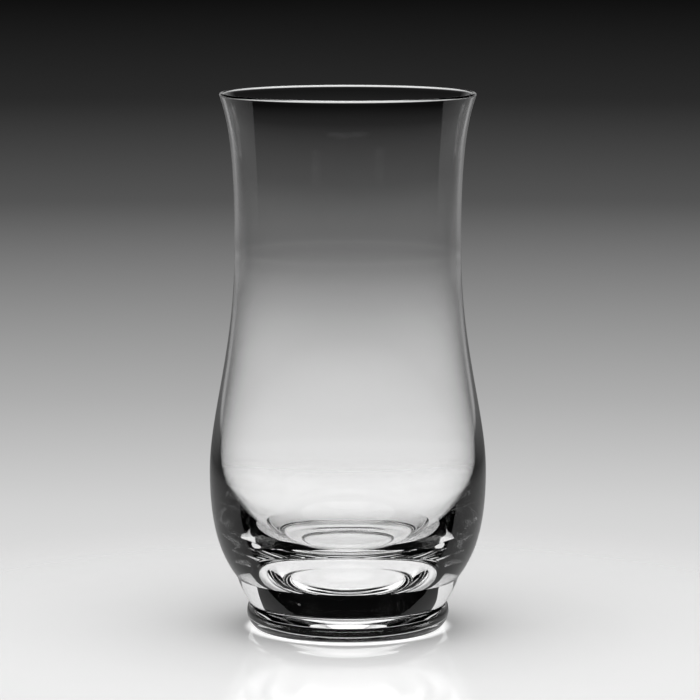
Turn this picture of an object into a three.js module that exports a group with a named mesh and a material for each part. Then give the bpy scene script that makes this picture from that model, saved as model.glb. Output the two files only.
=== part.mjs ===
// A highball tumbler of clear blown glass: a waisted bowl with a heavy bottom, fused to a short conical
// collar, which is fused to a thick round foot. Each of the three is one gather of glass, turned round +Z.
// Sizes are in millimetres. The origin is the middle of the surface that the foot stands on.
// A lean is an angle from straight up, and a reach is how far an outline keeps its direction at a point.

import * as THREE from 'three';

// Foot: a thick disc with a rounded edge, ground flat in a ring where it stands, round a flat-topped kick
const FOOT_THICKNESS = 7.1;
const FOOT_RADIUS = 28.35;
const FOOT_EDGE_RISE = 4.4;
const FOOT_EDGE_REACH_DOWN = 1.9;
const FOOT_EDGE_REACH_UP = 1.4;
const FOOT_GROUND_RADIUS = 25.2;
const FOOT_GROUND_REACH = 1.3;
const FOOT_GROOVE_REACH = 0.4;
const KICK_RADIUS = 19.5;
const KICK_RISE = 1.7;
const KICK_REACH = 18;
const KICK_EDGE_LEAN = THREE.MathUtils.degToRad(45);
const KICK_EDGE_REACH = 2;

// Collar: a solid cone that narrows from the bowl's crease to the groove above the foot, with a slight swell
const COLLAR_HEIGHT = 7.3;
const COLLAR_TOP_RADIUS = 31.1;
const COLLAR_FOOT_RADIUS = 27.5;
const COLLAR_SWELL = 0.32;

// Bowl, outside: rises are counted from its weld with the collar
const BOWL_HEIGHT = 135.6;
const RIM_RADIUS = 35.6;
const RIM_LEAN = THREE.MathUtils.degToRad(21.3);
const RIM_REACH = 13;
const WAIST_RADIUS = 31.6;
const WAIST_RISE = 90.6;
const WAIST_REACH_UP = 8;
const WAIST_REACH_DOWN = 26;
const BELLY_RADIUS = 38.7;
const BELLY_RISE = 30.4;
const BELLY_REACH_UP = 14.6;
const BELLY_REACH_DOWN = 11;
const CREASE_LEAN = THREE.MathUtils.degToRad(38.9);
const CREASE_REACH = 10.4;

// Bowl, inside: wall thicknesses at the same places, and the glass between the hollow and the weld
const RIM_WALL = 1.05;
const WAIST_WALL = 1;
const BELLY_WALL = 2.7;
const FLOOR_THICKNESS = 0.9;
const HOLLOW_BELLY_RISE = 33.3;
const HOLLOW_WAIST_REACH_DOWN = 26.2;
const HOLLOW_BELLY_REACH_UP = 13.3;
const HOLLOW_BELLY_REACH_DOWN = 10.7;
const FLOOR_REACH = 28.6;

// Facets: sides of every turned piece, and steps along each stretch of an outline
const SIDES = 64;
const WALL_STEPS = 9;
const FLOOR_STEPS = 10;
const EDGE_STEPS = 5;

const CLEAR_GLASS = { color: 0xeef2f1, roughness: 0.02, metalness: 0, transparent: true, opacity: 0.35 };

const at = (radius, rise) => new THREE.Vector2(radius, rise);

// The point that lies a given reach from another, in a direction that leans outwards from straight up
function along(from, lean, reach) {
  return at(from.x + reach * Math.sin(lean), from.y + reach * Math.cos(lean));
}

// A smooth stretch of outline between two points, drawn towards one handle near each of its ends
function sweep(from, leaving, arriving, to, steps) {
  return new THREE.CubicBezierCurve(from, leaving, arriving, to).getPoints(steps);
}

// Turns an outline of radii and rises round +Z; it runs from the axis under the piece to the axis above it
function turned(name, outline, rise) {
  const geometry = new THREE.LatheGeometry(outline, SIDES);
  geometry.rotateX(Math.PI / 2);
  const mesh = new THREE.Mesh(geometry, new THREE.MeshStandardMaterial(CLEAR_GLASS));
  mesh.name = name;
  mesh.position.z = rise;
  return mesh;
}

function makeFoot() {
  const kickMiddle = at(0, KICK_RISE);
  const kickEdge = at(KICK_RADIUS, 0);
  const ground = at(FOOT_GROUND_RADIUS, 0);
  const edge = at(FOOT_RADIUS, FOOT_EDGE_RISE);
  const groove = at(COLLAR_FOOT_RADIUS, FOOT_THICKNESS);
  return turned('foot', [
    ...sweep(kickMiddle, at(KICK_REACH, KICK_RISE),
      along(kickEdge, -KICK_EDGE_LEAN, KICK_EDGE_REACH), kickEdge, EDGE_STEPS),
    ...sweep(ground, at(FOOT_GROUND_RADIUS + FOOT_GROUND_REACH, 0),
      along(edge, 0, -FOOT_EDGE_REACH_DOWN), edge, EDGE_STEPS),
    ...sweep(edge, along(edge, 0, FOOT_EDGE_REACH_UP),
      at(COLLAR_FOOT_RADIUS + FOOT_GROOVE_REACH, FOOT_THICKNESS), groove, EDGE_STEPS).slice(1),
    at(0, FOOT_THICKNESS),
  ], 0);
}

function makeCollar() {
  const groove = at(COLLAR_FOOT_RADIUS, 0);
  const crease = at(COLLAR_TOP_RADIUS, COLLAR_HEIGHT);
  const swell = at((COLLAR_FOOT_RADIUS + COLLAR_TOP_RADIUS) / 2 + 2 * COLLAR_SWELL, COLLAR_HEIGHT / 2);
  return turned('collar', [
    at(0, 0),
    ...new THREE.QuadraticBezierCurve(groove, swell, crease).getPoints(EDGE_STEPS),
    at(0, COLLAR_HEIGHT),
  ], FOOT_THICKNESS);
}

// The lip is a half round square to the leaning wall, so its two ends start the outer and inner walls
function makeLip() {
  const radius = RIM_WALL / 2;
  const middle = at(RIM_RADIUS - radius, BOWL_HEIGHT - radius);
  return new THREE.EllipseCurve(
    middle.x, middle.y, radius, radius, -RIM_LEAN, Math.PI - RIM_LEAN,
  ).getPoints(EDGE_STEPS);
}

function makeBowl() {
  const lip = makeLip();
  const crease = at(COLLAR_TOP_RADIUS, 0);
  const belly = at(BELLY_RADIUS, BELLY_RISE);
  const waist = at(WAIST_RADIUS, WAIST_RISE);
  const rim = lip[0];
  const hollowRim = lip[lip.length - 1];
  const hollowWaist = at(WAIST_RADIUS - WAIST_WALL, WAIST_RISE);
  const hollowBelly = at(BELLY_RADIUS - BELLY_WALL, HOLLOW_BELLY_RISE);
  const floor = at(0, FLOOR_THICKNESS);
  return turned('bowl', [
    at(0, 0),
    ...sweep(crease, along(crease, CREASE_LEAN, CREASE_REACH),
      along(belly, 0, -BELLY_REACH_DOWN), belly, WALL_STEPS),
    ...sweep(belly, along(belly, 0, BELLY_REACH_UP),
      along(waist, 0, -WAIST_REACH_DOWN), waist, WALL_STEPS).slice(1),
    ...sweep(waist, along(waist, 0, WAIST_REACH_UP),
      along(rim, RIM_LEAN, -RIM_REACH), rim, WALL_STEPS).slice(1, -1),
    ...lip,
    ...sweep(hollowRim, along(hollowRim, RIM_LEAN, -RIM_REACH),
      along(hollowWaist, 0, WAIST_REACH_UP), hollowWaist, WALL_STEPS).slice(1),
    ...sweep(hollowWaist, along(hollowWaist, 0, -HOLLOW_WAIST_REACH_DOWN),
      along(hollowBelly, 0, HOLLOW_BELLY_REACH_UP), hollowBelly, WALL_STEPS).slice(1),
    ...sweep(hollowBelly, along(hollowBelly, 0, -HOLLOW_BELLY_REACH_DOWN),
      at(FLOOR_REACH, FLOOR_THICKNESS), floor, FLOOR_STEPS).slice(1),
  ], FOOT_THICKNESS + COLLAR_HEIGHT);
}

const tumbler = new THREE.Group();
tumbler.add(makeFoot(), makeCollar(), makeBowl());

export default tumbler;
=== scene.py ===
import math
import bpy
import numpy as np
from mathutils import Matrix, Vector


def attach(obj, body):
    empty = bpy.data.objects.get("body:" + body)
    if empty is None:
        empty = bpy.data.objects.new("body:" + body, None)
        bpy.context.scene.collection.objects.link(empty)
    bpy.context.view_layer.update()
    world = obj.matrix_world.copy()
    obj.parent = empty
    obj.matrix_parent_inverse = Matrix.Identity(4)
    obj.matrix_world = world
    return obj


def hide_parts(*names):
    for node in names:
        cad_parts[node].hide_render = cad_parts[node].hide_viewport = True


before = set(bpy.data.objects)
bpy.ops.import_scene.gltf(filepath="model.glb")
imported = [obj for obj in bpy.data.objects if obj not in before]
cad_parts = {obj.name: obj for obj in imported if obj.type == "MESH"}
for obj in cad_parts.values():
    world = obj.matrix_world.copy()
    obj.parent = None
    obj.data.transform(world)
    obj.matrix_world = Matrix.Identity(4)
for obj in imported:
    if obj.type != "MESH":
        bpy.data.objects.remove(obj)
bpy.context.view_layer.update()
MM = 0.001

# The glass, in millimetres from the surface it stands on. A lean is an angle from straight up, and a reach is how far
# an outline keeps its direction at a point.

# Foot: a thick disc with a rounded edge, ground flat in a ring round a flat-topped kick
FOOT_TOP = 7.1
FOOT_RADIUS = 28.35
FOOT_EDGE_HEIGHT = 4.4
FOOT_EDGE_REACH_DOWN = 1.9
FOOT_EDGE_REACH_UP = 1.4
GROUND_RADIUS = 25.2
GROUND_REACH = 1.3
GROOVE_REACH = 0.4
KICK_RADIUS = 19.5
KICK_HEIGHT = 1.7
KICK_REACH = 18.0
KICK_EDGE_LEAN = math.radians(45)
KICK_EDGE_REACH = 2.0

# Collar: a cone from the groove above the foot to the crease under the bowl, with a slight swell
GROOVE_RADIUS = 27.5
COLLAR_SWELL = 0.32
CREASE_RADIUS = 31.1
CREASE_HEIGHT = 14.4

# Bowl, outside
CREASE_LEAN = math.radians(38.9)
CREASE_REACH = 10.4
BELLY_RADIUS = 38.7
BELLY_HEIGHT = 44.8
BELLY_REACH_UP = 14.6
BELLY_REACH_DOWN = 11.0
WAIST_RADIUS = 31.6
WAIST_HEIGHT = 105.0
WAIST_REACH_UP = 8.0
WAIST_REACH_DOWN = 26.0
RIM_RADIUS = 35.6
RIM_HEIGHT = 150.0
RIM_LEAN = math.radians(21.3)
RIM_REACH = 13.0

# Bowl, inside: wall thicknesses, the rim's bead, which dies out within its reach, and the hollow
RIM_WALL = 1.05
RIM_BEAD = 0.16
RIM_BEAD_REACH = 1.6
WAIST_WALL = 1.0
BELLY_WALL = 2.7
HOLLOW_FLOOR_HEIGHT = 15.3
HOLLOW_FLOOR_REACH = 28.6
HOLLOW_BELLY_HEIGHT = 47.7
HOLLOW_BELLY_REACH_UP = 13.3
HOLLOW_BELLY_REACH_DOWN = 10.7
HOLLOW_WAIST_REACH_DOWN = 26.2

# Facets: sides of every turned piece, steps along each kind of stretch of an outline, and the bend from which an edge
# shows as a crease
SIDES = 256
WALL_STEPS = 44
HOLLOW_FLOOR_STEPS = 64
EDGE_STEPS = 20
FLAT_STEPS = 4
SHARP = math.radians(12)

# How far along it the bowl's outline is evened out, and the step at which that is worked out
EASE = 5.0
EASE_STEP = 0.1

# The waves that blowing left in the glass: their length and depth, and the heights between which they go from full
# depth in the heavy bottom to a share of it in the thin wall
WAVE_LENGTH = 11.0
WAVE_DEPTH = 0.04
WAVE_HEIGHTS = (30.0, 70.0)
WAVE_SHARE = 0.15
GLASS_COLOUR = "#fdfdfd"
GLASS_IOR = 1.52

# The camera, in metres and degrees: long and a little above the glass
CAMERA_PLACE = (0.0006, -1.112, 0.219)
CAMERA_PITCH = 7.22
CAMERA_LENS = 206.5
CAMERA_SENSOR = 36.0

# The backdrop's grey by the angle above the horizon, in degrees: a pale floor that fades into a dark room
BACKDROP = [(0, "#070707"), (-2.2, "#0f0f0f"), (-3.65, "#2a2a2a"), (-5.1, "#545454"), (-7.9, "#aeaeae"),
            (-9.4, "#d2d2d2"), (-10.8, "#e5e5e5"), (-13, "#eeeeee"), (-22, "#f1f1f1")]
BACKDROP_LOWEST = -25

# What reflects off the glass sees the backdrop only behind it, as a sweep in a dark room: the angles off straight
# behind where the sweep starts and ends to fade, seen off the outside of the glass and from inside it, the share
# of its light that the outside shows, and the angles above the horizon where it fades for what comes from inside
SWEEP_OUTSIDE = (76, 77)
SWEEP_INSIDE = (28, 45)
SWEEP_SHARE = 0.45
SWEEP_FOOT = (-7.8, -9.2)

# The room's back wall, seen off the outside near the glass's edges: its light, the angles off straight behind where
# it starts and ends to fade, the angle of its middle above the horizon, and those off that where it fades
WALL_LIGHT = 0.4
WALL_TURN = (40, 60)
WALL_MIDDLE = 1.5
WALL_RISE = (4, 8.5)

# The floor, in metres: half its width, how far it lies under the foot, so that the two share no plane, and where it
# starts and ends to fade, seen straight and from inside the glass
FLOOR_SIZE = 0.6
FLOOR_DROP = 0.00005
FLOOR_COLOUR = "#f3f3f3"
FLOOR_ROUGHNESS = 0.1
FLOOR_FADE = (0.08, 0.18)
FLOOR_FADE_INSIDE = (0.06, 0.10)

# A painted pool of light on the floor under the foot, a glow in place of the light that the glass gathers there: its
# strength, and the radii in metres where it starts and ends to fade
PAINTED_POOL_GLOW = 0.75
PAINTED_POOL_FADE = (0.0265, 0.0298)

# The lamps: width and height, place in metres and power in watts. The ceiling only lights the floor.
SOFTBOX = ((1.0, 1.0), (0, 0.3, 0.9), 3.3)
CEILING = ((3.0, 3.0), (0, -0.35, 1.2), 47.0)

# The panels at both sides: their size, angle off straight behind, distance, height and power. They show in light that
# the heavy bottom turned back this many times, and not as stripes on the thin wall.
SIDE_PANEL = (0.36, 0.39)
SIDE_PANEL_TURN = 66
SIDE_PANEL_DISTANCE = 1.0
SIDE_PANEL_RISE = 0.327
SIDE_PANEL_POWER = 0.37
SIDE_PANEL_TURNED_BACK = 2


def linear(code):
    """An sRGB hex colour as linear RGBA."""
    c = np.array([int(code[i:i + 2], 16) for i in (1, 3, 5)]) / 255
    return (*np.where(c <= 0.04045, c / 12.92, ((c + 0.055) / 1.055) ** 2.4), 1.0)


def add(tree, kind, inputs=None, **settings):
    """Adds a node with its settings, and sets each named input to a value or links it to an output."""
    made = tree.nodes.new(kind)
    for key, value in settings.items():
        setattr(made, key, value)
    for socket, value in (inputs or {}).items():
        if isinstance(value, bpy.types.NodeSocket):
            tree.links.new(value, made.inputs[socket])
        else:
            made.inputs[socket].default_value = value
    return made


def at(radius, height):
    """A point of an outline."""
    return np.array([radius, height], float)


def along(point, lean, reach):
    """The point that lies a reach from another, in a direction that leans outwards from straight up."""
    return point + reach * at(math.sin(lean), math.cos(lean))


def sweep(start, leaving, arriving, end, steps):
    """A cubic Bezier stretch of outline: its ends weighted by (1-t)^3 and t^3, its handles by 3(1-t)^2 t and
    3(1-t) t^2, for t from 0 to 1."""
    t = np.linspace(0, 1, steps + 1)[:, None]
    return (1 - t) ** 3 * start + 3 * (1 - t) ** 2 * t * leaving + 3 * (1 - t) * t ** 2 * arriving + t ** 3 * end


def eased(outline):
    """Evens out the sudden changes of curvature where stretches meet: each point becomes the mean of those within
    EASE of it along the outline, weighted by a cosine bell. Beyond each end it is carried on by its own half turn
    about that end, so its ends stay."""
    along_it = np.concatenate([[0], np.cumsum(np.hypot(*np.diff(outline, axis=0).T))])
    fine = np.linspace(0, along_it[-1], int(along_it[-1] / EASE_STEP))
    points = np.stack([np.interp(fine, along_it, outline[:, k]) for k in (0, 1)], axis=1)
    count = int(EASE / EASE_STEP)
    before, after = 2 * points[0] - points[count:0:-1], 2 * points[-1] - points[-2:-count - 2:-1]
    bell = np.hanning(2 * count + 3)[1:-1]
    smooth = [np.convolve(column, bell / bell.sum(), "valid") for column in np.vstack([before, points, after]).T]
    return np.stack([np.interp(along_it, fine, column) for column in smooth], axis=1)


def turned(name, stretches, finishes):
    """Turns an outline about +Z: its point (r, z) at angle a goes to (r cos a, r sin a, z). The outline runs from
    the axis under the piece to the axis above it, where single vertices close it in fans. Each stretch comes with
    the number of its finish."""
    outline = np.vstack([stretches[0][0][:1]] + [points[1:] for points, _ in stretches]) * MM
    finish = np.concatenate([np.full(len(points) - 1, number) for points, number in stretches])
    rings = outline[1:-1]
    angle = np.linspace(0, 2 * np.pi, SIDES, endpoint=False)
    wall = np.stack([rings[:, :1] * np.cos(angle), rings[:, :1] * np.sin(angle),
                     np.repeat(rings[:, 1:], SIDES, axis=1)], axis=-1)
    below, above = wall.shape[0] * SIDES, wall.shape[0] * SIDES + 1
    poles = np.array([[0, 0, outline[0, 1]], [0, 0, outline[-1, 1]]])
    side = np.arange(SIDES)
    after = (side + 1) % SIDES
    row = SIDES * np.arange(len(rings) - 1)[:, None]
    quads = np.stack([row + side, row + after, row + SIDES + after, row + SIDES + side], axis=-1).reshape(-1, 4)
    last = below - SIDES
    lower = np.stack([np.full(SIDES, below), after, side], axis=-1)
    upper = np.stack([last + side, last + after, np.full(SIDES, above)], axis=-1)
    mesh = bpy.data.meshes.new(name)
    mesh.from_pydata(np.vstack([wall.reshape(-1, 3), poles]).tolist(), [],
                     quads.tolist() + lower.tolist() + upper.tolist())
    bands = np.concatenate([np.repeat(finish[1:-1], SIDES), np.repeat(finish[[0, -1]], SIDES)])
    mesh.polygons.foreach_set("material_index", bands.astype(np.int32))
    mesh.polygons.foreach_set("use_smooth", np.ones(len(bands), bool))
    for material in finishes:
        mesh.materials.append(material)
    mesh.set_sharp_from_angle(angle=SHARP)
    mesh.update()
    piece = bpy.data.objects.new(name, mesh)
    bpy.context.scene.collection.objects.link(piece)
    return piece


def clear_glass():
    """Soda-lime glass, blown and fire polished: colourless and sharp, with a slow waviness left by the blowing
    that bends what shows through it a little, more in the heavy bottom than in the thin wall."""
    material = bpy.data.materials.new("blown_soda_lime_glass")
    material.use_nodes = True
    tree = material.node_tree
    glass = tree.nodes["Principled BSDF"]
    glass.inputs["Base Color"].default_value = linear(GLASS_COLOUR)
    glass.inputs["Roughness"].default_value = 0.0
    glass.inputs["IOR"].default_value = GLASS_IOR
    glass.inputs["Transmission Weight"].default_value = 1.0
    place = add(tree, "ShaderNodeTexCoord").outputs["Object"]
    waves = add(tree, "ShaderNodeTexNoise", {"Vector": place, "Scale": 1 / (WAVE_LENGTH * MM), "Detail": 1.0})
    height = add(tree, "ShaderNodeSeparateXYZ", {0: place}).outputs["Z"]
    low, high = WAVE_HEIGHTS
    depth = add(tree, "ShaderNodeMapRange", {"Value": height, "From Min": high * MM, "From Max": low * MM,
                                             "To Min": WAVE_SHARE, "To Max": 1.0})
    relief = add(tree, "ShaderNodeMath", {0: waves.outputs["Fac"], 1: depth.outputs["Result"]},
                 operation="MULTIPLY")
    bump = add(tree, "ShaderNodeBump", {"Height": relief.outputs[0], "Strength": 1.0, "Distance": WAVE_DEPTH * MM})
    tree.links.new(bump.outputs["Normal"], glass.inputs["Normal"])
    return material


def fused_joint():
    """Where two gathers of hot glass were pressed together they are one glass, so the joint bends no light."""
    material = bpy.data.materials.new("fused_joint")
    material.use_nodes = True
    tree = material.node_tree
    tree.nodes.remove(tree.nodes["Principled BSDF"])
    clear = add(tree, "ShaderNodeBsdfTransparent")
    tree.links.new(clear.outputs[0], tree.nodes["Material Output"].inputs["Surface"])
    return material


def foot_outline():
    """The kick, the flat ring it stands on, the rounded edge up to the groove, and the joint with the collar."""
    kick_edge = at(KICK_RADIUS, 0)
    ground = at(GROUND_RADIUS, 0)
    edge = at(FOOT_RADIUS, FOOT_EDGE_HEIGHT)
    groove = at(GROOVE_RADIUS, FOOT_TOP)
    return [(sweep(at(0, KICK_HEIGHT), at(KICK_REACH, KICK_HEIGHT),
                   along(kick_edge, -KICK_EDGE_LEAN, KICK_EDGE_REACH), kick_edge, EDGE_STEPS), 0),
            (np.linspace(kick_edge, ground, FLAT_STEPS + 1), 0),
            (sweep(ground, ground + at(GROUND_REACH, 0), along(edge, 0, -FOOT_EDGE_REACH_DOWN), edge, EDGE_STEPS), 0),
            (sweep(edge, along(edge, 0, FOOT_EDGE_REACH_UP), groove + at(GROOVE_REACH, 0), groove, EDGE_STEPS), 0),
            (np.linspace(groove, at(0, FOOT_TOP), FLAT_STEPS + 1), 1)]


def collar_outline():
    """The joint with the foot, the cone that widens to the bowl's crease and swells a little on its way, and the
    joint with the bowl. Handles two thirds of the way to one point make the swell a parabola."""
    groove = at(GROOVE_RADIUS, FOOT_TOP)
    crease = at(CREASE_RADIUS, CREASE_HEIGHT)
    swell = (groove + crease) / 2 + at(2 * COLLAR_SWELL, 0)
    return [(np.linspace(at(0, FOOT_TOP), groove, FLAT_STEPS + 1), 1),
            (sweep(groove, groove + (swell - groove) * 2 / 3,
                   crease + (swell - crease) * 2 / 3, crease, EDGE_STEPS), 0),
            (np.linspace(crease, at(0, CREASE_HEIGHT), FLAT_STEPS + 1), 1)]


def bowl_outline():
    """The joint with the collar, the outside up to the rim, the half-round lip, and the hollow down to its floor."""
    crease = at(CREASE_RADIUS, CREASE_HEIGHT)
    belly = at(BELLY_RADIUS, BELLY_HEIGHT)
    waist = at(WAIST_RADIUS, WAIST_HEIGHT)
    lip_angle = np.linspace(-RIM_LEAN, math.pi - RIM_LEAN, EDGE_STEPS + 1)
    lip = (at(RIM_RADIUS, RIM_HEIGHT) - RIM_WALL / 2
           + RIM_WALL / 2 * np.stack([np.cos(lip_angle), np.sin(lip_angle)], axis=1))
    rim, hollow_rim = lip[0], lip[-1]
    hollow_waist = at(WAIST_RADIUS - WAIST_WALL - RIM_BEAD, WAIST_HEIGHT)
    hollow_belly = at(BELLY_RADIUS - BELLY_WALL, HOLLOW_BELLY_HEIGHT)
    floor = at(0, HOLLOW_FLOOR_HEIGHT)
    neck = sweep(hollow_rim, along(hollow_rim, RIM_LEAN, -RIM_REACH),
                 along(hollow_waist, 0, WAIST_REACH_UP), hollow_waist, 2 * WALL_STEPS)
    neck[:, 0] += RIM_BEAD * (1 - np.exp((neck[:, 1] - hollow_rim[1]) / RIM_BEAD_REACH))
    hollow_waist = neck[-1]
    outside = [sweep(crease, along(crease, CREASE_LEAN, CREASE_REACH),
                     along(belly, 0, -BELLY_REACH_DOWN), belly, WALL_STEPS),
               sweep(belly, along(belly, 0, BELLY_REACH_UP),
                     along(waist, 0, -WAIST_REACH_DOWN), waist, WALL_STEPS)[1:],
               sweep(waist, along(waist, 0, WAIST_REACH_UP),
                     along(rim, RIM_LEAN, -RIM_REACH), rim, WALL_STEPS)[1:]]
    hollow = [sweep(hollow_waist, along(hollow_waist, 0, -HOLLOW_WAIST_REACH_DOWN),
                    along(hollow_belly, 0, HOLLOW_BELLY_REACH_UP), hollow_belly, WALL_STEPS),
              sweep(hollow_belly, along(hollow_belly, 0, -HOLLOW_BELLY_REACH_DOWN),
                    at(HOLLOW_FLOOR_REACH, HOLLOW_FLOOR_HEIGHT), floor, HOLLOW_FLOOR_STEPS)[1:]]
    return [(np.linspace(at(0, CREASE_HEIGHT), crease, FLAT_STEPS + 1), 1),
            (eased(np.vstack(outside)), 0),
            (lip, 0),
            (neck, 0),
            (eased(np.vstack(hollow)), 0)]


def make_tumbler():
    """The three pieces, each in place of its CAD node. One finish is clear, and one is for the joints between them."""
    finishes = [clear_glass(), fused_joint()]
    for node, outline in (("foot", foot_outline()), ("collar", collar_outline()), ("bowl", bowl_outline())):
        piece = turned("glass_" + node, outline, finishes)
        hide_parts(node)
        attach(piece, "root")


def make_floor():
    """A pale, softly glossy floor that fades into the backdrop with its distance from the glass. A ray that was
    turned back inside the glass sees only the floor near the foot, and one off its outside sees none. Under the foot
    it glows with a painted pool of light, in place of the light that the glass gathers there."""
    mesh = bpy.data.meshes.new("floor")
    corners = FLOOR_SIZE * np.array([[-1, -1, 0], [1, -1, 0], [1, 1, 0], [-1, 1, 0]])
    mesh.from_pydata((corners - [0, 0, FLOOR_DROP]).tolist(), [], [(0, 1, 2, 3)])
    floor = bpy.data.objects.new("floor", mesh)
    bpy.context.scene.collection.objects.link(floor)
    material = bpy.data.materials.new("pale_gloss_board")
    material.use_nodes = True
    mesh.materials.append(material)
    tree = material.node_tree
    board = tree.nodes["Principled BSDF"]
    board.inputs["Base Color"].default_value = linear(FLOOR_COLOUR)
    board.inputs["Roughness"].default_value = FLOOR_ROUGHNESS
    board.inputs["Emission Color"].default_value = linear("#ffffff")
    place = add(tree, "ShaderNodeTexCoord").outputs["Object"]
    from_axis = add(tree, "ShaderNodeVectorMath", {0: place}, operation="LENGTH").outputs["Value"]
    seen_straight, seen_inside, painted_pool = [
        add(tree, "ShaderNodeMapRange", {"Value": from_axis, "From Min": far, "From Max": near, "To Max": most},
            interpolation_type="SMOOTHSTEP").outputs["Result"]
        for (near, far), most in ((FLOOR_FADE, 1.0), (FLOOR_FADE_INSIDE, 1.0), (PAINTED_POOL_FADE, PAINTED_POOL_GLOW))]
    # Painted pool of light: the floor's emission makes it glow under the foot, where the glass would gather light
    tree.links.new(painted_pool, board.inputs["Emission Strength"])
    path = add(tree, "ShaderNodeLightPath")
    turned_back = add(tree, "ShaderNodeMath", {0: path.outputs["Glossy Depth"], 1: 1.0}, operation="MINIMUM")
    inside = add(tree, "ShaderNodeMath", {0: path.outputs["Transmission Depth"], 1: 1.0}, operation="MINIMUM")
    near_foot = add(tree, "ShaderNodeMath", {0: seen_inside, 1: inside.outputs[0]}, operation="MULTIPLY")
    seen = add(tree, "ShaderNodeMix", {"Factor": turned_back.outputs[0], "A": seen_straight,
                                       "B": near_foot.outputs[0]})
    tree.links.new(seen.outputs["Result"], board.inputs["Alpha"])


def make_backdrop():
    """A grey that depends only on the angle above the horizon, so that it is the same all round. What reflects
    sees a dark room instead, with a sweep of that grey behind the glass, and off the outside its back wall too."""
    world = bpy.data.worlds.new("studio")
    bpy.context.scene.world = world
    world.use_nodes = True
    tree = world.node_tree
    way = add(tree, "ShaderNodeTexCoord").outputs["Generated"]
    axes = add(tree, "ShaderNodeSeparateXYZ", {0: way})
    rise = add(tree, "ShaderNodeMath", {0: axes.outputs["Z"]}, operation="ARCSINE").outputs[0]
    lowest = math.radians(BACKDROP_LOWEST)
    share = add(tree, "ShaderNodeMapRange", {"Value": rise, "From Min": lowest, "From Max": 0.0})
    ramp = add(tree, "ShaderNodeValToRGB", {"Fac": share.outputs["Result"]})
    stops = ramp.color_ramp.elements
    stops[0].color, stops[1].color = linear(BACKDROP[-1][1]), linear(BACKDROP[0][1])
    for angle, grey in BACKDROP[1:]:
        stops.new(1 - angle / BACKDROP_LOWEST).color = linear(grey)
    across = add(tree, "ShaderNodeMath", {0: axes.outputs["X"]}, operation="ABSOLUTE").outputs[0]
    turn = add(tree, "ShaderNodeMath", {0: across, 1: axes.outputs["Y"]}, operation="ARCTAN2").outputs[0]
    above = add(tree, "ShaderNodeMath", {0: rise, 1: math.radians(WALL_MIDDLE)}, operation="SUBTRACT").outputs[0]
    off_middle = add(tree, "ShaderNodeMath", {0: above}, operation="ABSOLUTE").outputs[0]
    off_outside, from_inside, above_foot, wall, near_middle = [
        add(tree, "ShaderNodeMapRange", {"Value": value, "From Min": math.radians(end), "From Max": math.radians(start),
                                         "To Max": most}).outputs["Result"]
        for value, (start, end), most in ((turn, SWEEP_OUTSIDE, SWEEP_SHARE), (turn, SWEEP_INSIDE, 1.0),
                                          (rise, SWEEP_FOOT, 1.0), (turn, WALL_TURN, WALL_LIGHT),
                                          (off_middle, WALL_RISE, 1.0))]
    from_inside = add(tree, "ShaderNodeMath", {0: from_inside, 1: above_foot}, operation="MULTIPLY").outputs[0]
    path = add(tree, "ShaderNodeLightPath")
    inside = add(tree, "ShaderNodeMath", {0: path.outputs["Transmission Depth"], 1: 1.0}, operation="MINIMUM")
    room = add(tree, "ShaderNodeMix", {"Factor": inside.outputs[0], "A": off_outside, "B": from_inside})
    reflected = add(tree, "ShaderNodeMath", {0: path.outputs["Glossy Depth"], 1: 1.0}, operation="MINIMUM")
    seen = add(tree, "ShaderNodeMix", {"Factor": reflected.outputs[0], "A": 1.0, "B": room.outputs["Result"]})
    tree.links.new(ramp.outputs["Color"], tree.nodes["Background"].inputs["Color"])
    tree.links.new(seen.outputs["Result"], tree.nodes["Background"].inputs["Strength"])
    outside = add(tree, "ShaderNodeMath", {0: reflected.outputs[0], 1: inside.outputs[0]}, operation="SUBTRACT",
                  use_clamp=True).outputs[0]
    lit = add(tree, "ShaderNodeMath", {0: wall, 1: near_middle}, operation="MULTIPLY")
    lit = add(tree, "ShaderNodeMath", {0: lit.outputs[0], 1: outside}, operation="MULTIPLY")
    glow = add(tree, "ShaderNodeBackground", {"Color": linear("#ffffff"), "Strength": lit.outputs[0]})
    both = add(tree, "ShaderNodeAddShader", {0: tree.nodes["Background"].outputs[0], 1: glow.outputs[0]})
    tree.links.new(both.outputs[0], tree.nodes["World Output"].inputs["Surface"])


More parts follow.
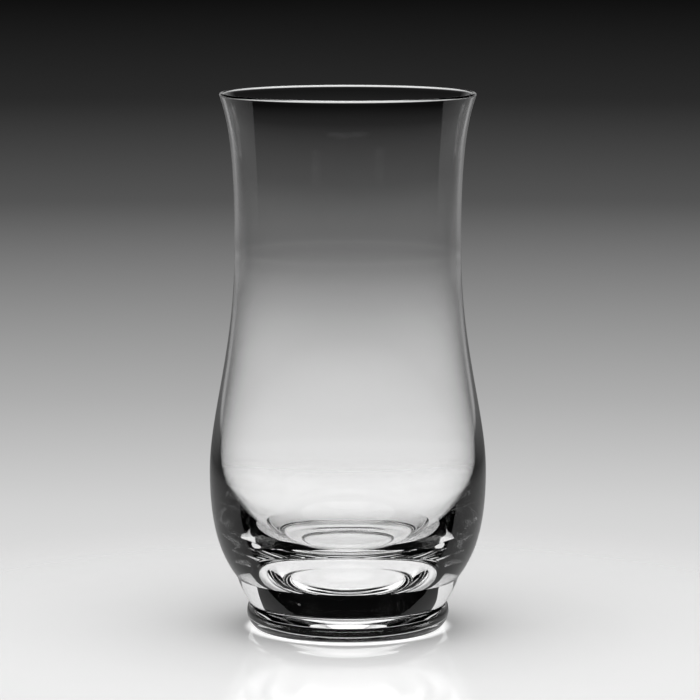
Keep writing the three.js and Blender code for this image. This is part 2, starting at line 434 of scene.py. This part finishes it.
def make_lamp(name, size, place, power, in_glass=True, turned_back=0):
    """A lamp that faces the foot of the glass, round where its width and height are the same. It shows only in light
    that was turned back at least the given number of times."""
    light = bpy.data.lights.new(name, "AREA")
    light.shape = "DISK" if size[0] == size[1] else "RECTANGLE"
    light.size, light.size_y = size
    light.energy = power
    if turned_back:
        light.use_nodes = True
        tree = light.node_tree
        path = add(tree, "ShaderNodeLightPath")
        shows = add(tree, "ShaderNodeMath", {0: path.outputs["Glossy Depth"], 1: turned_back - 0.5},
                    operation="GREATER_THAN")
        tree.links.new(shows.outputs[0], tree.nodes["Emission"].inputs["Strength"])
    lamp = bpy.data.objects.new(name, light)
    lamp.location = place
    lamp.rotation_euler = (-Vector(place)).to_track_quat("-Z", "Y").to_euler()
    lamp.visible_glossy = lamp.visible_transmission = in_glass
    bpy.context.scene.collection.objects.link(lamp)


def make_camera():
    """Looks along +Y and tilts down by the pitch."""
    lens = bpy.data.cameras.new("camera")
    lens.lens = CAMERA_LENS
    lens.sensor_width = CAMERA_SENSOR
    camera = bpy.data.objects.new("camera", lens)
    camera.location = CAMERA_PLACE
    camera.rotation_euler = (math.radians(90 - CAMERA_PITCH), 0, 0)
    bpy.context.scene.collection.objects.link(camera)
    bpy.context.scene.camera = camera


scene = bpy.context.scene
scene.view_settings.view_transform = "Standard"
# Light crosses the heavy bottom many times before it leaves
scene.cycles.max_bounces = 24
scene.cycles.transmission_bounces = 24
scene.cycles.glossy_bounces = 16
scene.cycles.transparent_max_bounces = 32

make_camera()
make_tumbler()
make_floor()
make_backdrop()
make_lamp("softbox", *SOFTBOX)
make_lamp("ceiling", *CEILING, in_glass=False)
turn = math.radians(SIDE_PANEL_TURN)
across, behind = SIDE_PANEL_DISTANCE * math.sin(turn), SIDE_PANEL_DISTANCE * math.cos(turn)
for name, side in (("left_panel", -across), ("right_panel", across)):
    make_lamp(name, SIDE_PANEL, (side, behind, SIDE_PANEL_RISE), SIDE_PANEL_POWER, turned_back=SIDE_PANEL_TURNED_BACK)
